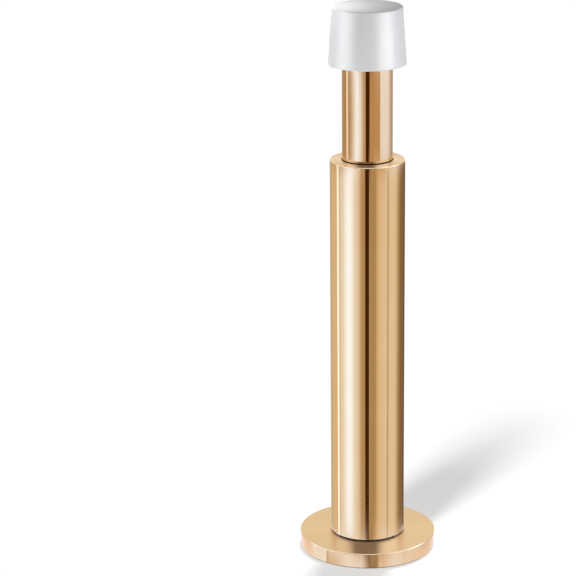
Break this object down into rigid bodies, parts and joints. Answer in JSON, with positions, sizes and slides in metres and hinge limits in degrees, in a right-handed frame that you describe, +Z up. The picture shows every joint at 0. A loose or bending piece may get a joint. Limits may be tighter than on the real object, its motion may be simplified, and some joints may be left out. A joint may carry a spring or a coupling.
{
  "type": "spring door stop",
  "caption": "Telescoping door stop: a sprung rod with a rubber bumper cap slides in a tube that stands on a round screw-down foot.",
  "frame": {"origin": "centre of the foot's underside, on the floor", "axes": "+Z up along the common axis of tube, spring and rod, from the foot to the cap; X and Y are free, because the form is turned"},
  "size_m": [0.037, 0.037, 0.1503],
  "materials": {
    "gold_plated_brass": "turned brass, polished and gold plated",
    "plain_brass": "turned brass, unplated",
    "spring_steel": "drawn wire, bright zinc plated",
    "white_rubber": "moulded, satin"
  },
  "bodies": {
    "stand": {"base_flange": "gold_plated_brass", "body_tube": "gold_plated_brass", "threaded_bush": "plain_brass", "spring": "spring_steel"},
    "rod": {"plunger": "gold_plated_brass", "stop_ring": "spring_steel", "bumper_cap": "white_rubber"}
  },
  "joints": [
    {"name": "plunger_slide", "type": "slide", "parent": "stand", "child": "rod", "axis": [0, 0, 1], "range_m": [-0.0253, 0], "stiffness_N_per_m": 330, "springref_m": 0.007, "deforming": ["spring"]}
  ]
}
